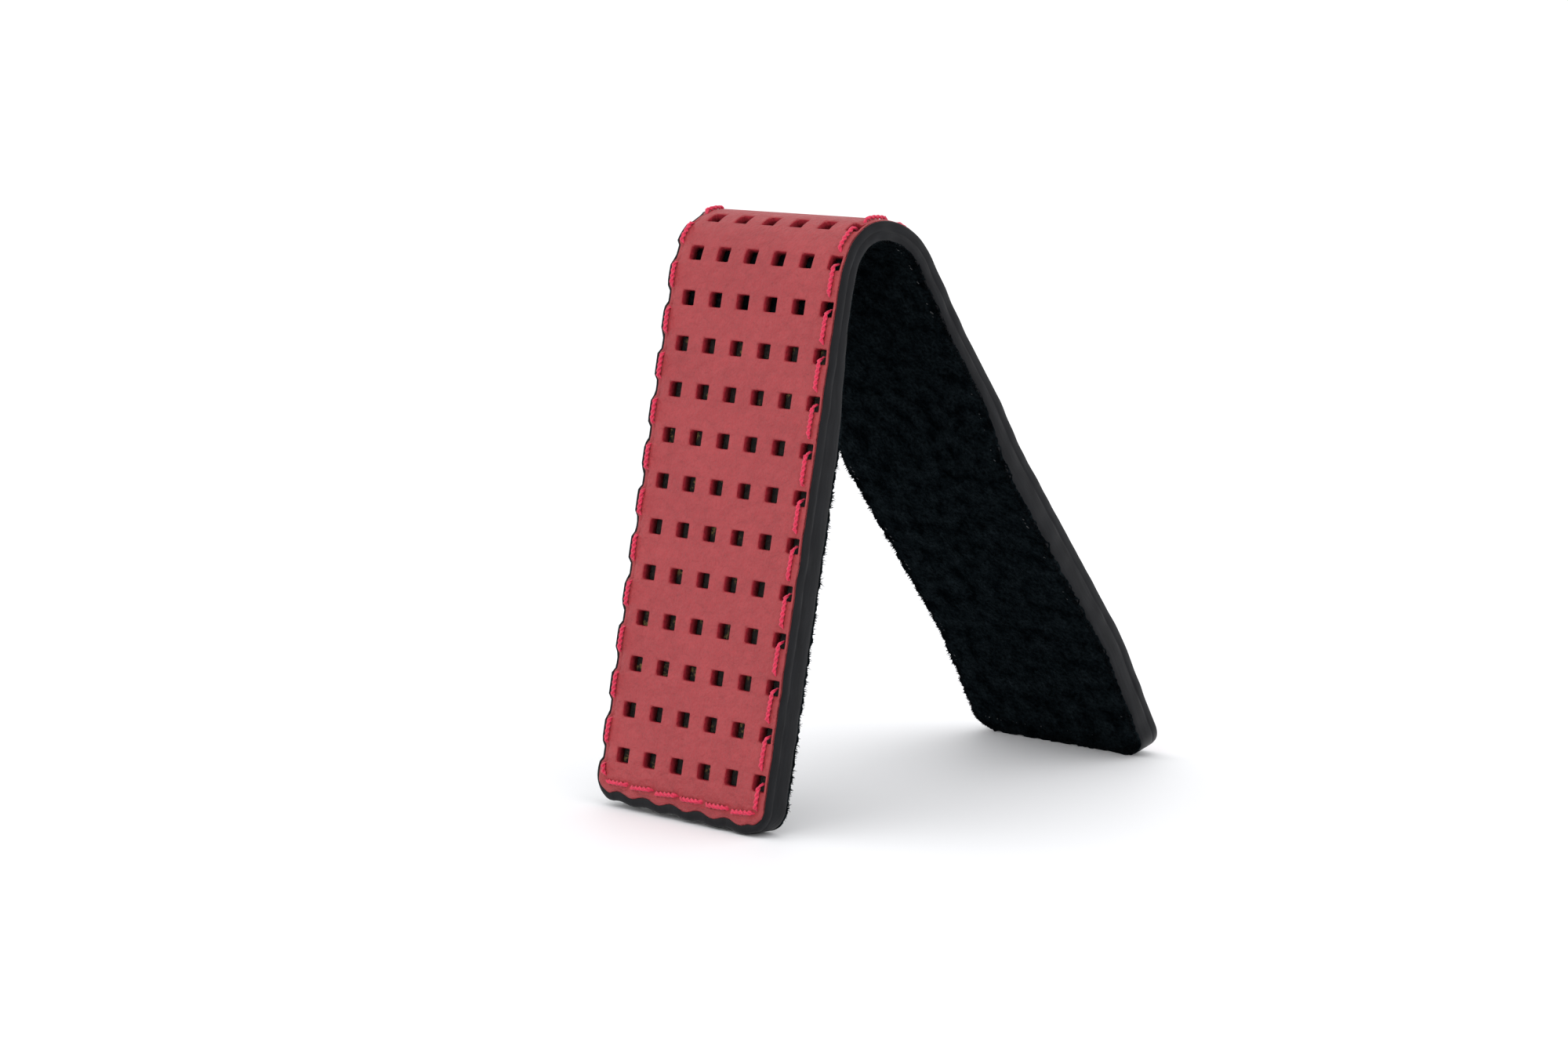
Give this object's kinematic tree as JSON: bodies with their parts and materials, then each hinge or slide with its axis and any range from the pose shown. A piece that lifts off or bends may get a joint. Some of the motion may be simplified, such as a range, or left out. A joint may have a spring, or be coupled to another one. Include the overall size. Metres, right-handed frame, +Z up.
{
  "type": "folding magnetic leather clip",
  "caption": "Folded strap clip of punched red leather over black suede, stitched round, with disc magnets hidden in both legs; the fold flexes open and shut.",
  "frame": {"origin": "on the ground under the middle of the clip's box, with the clip standing on its two free ends", "axes": "+Z up, X across the strap, front leg towards -Y, back leg towards +Y"},
  "size_m": [0.0264, 0.0698, 0.0667],
  "materials": {
    "red_leather": "pebbled, satin",
    "black_leather": "burnished edge, semi-gloss",
    "black_suede": "napped suede, matte",
    "red_thread": "waxed twisted thread",
    "black_thread": "waxed twisted thread",
    "nickel": "plated, satin"
  },
  "bodies": {
    "front_leg": {"facing_front": "red_leather", "filler_front": "black_leather", "lining_front": "black_suede", "magnet_front_lower": "nickel", "magnet_front_upper": "nickel", "needle_thread_front": "red_thread", "bobbin_thread_front": "black_thread"},
    "back_leg": {"facing_back": "red_leather", "filler_back": "black_leather", "lining_back": "black_suede", "magnet_back_lower": "nickel", "magnet_back_upper": "nickel", "needle_thread_back": "red_thread", "bobbin_thread_back": "black_thread"}
  },
  "joints": [
    {"name": "fold_hinge", "type": "hinge", "parent": "front_leg", "child": "back_leg", "pos_m": [0, -0.0172, 0.06408], "axis": [1, 0, 0], "range_deg": [-49, 43], "stiffness_Nm_per_rad": 0.08}
  ]
}
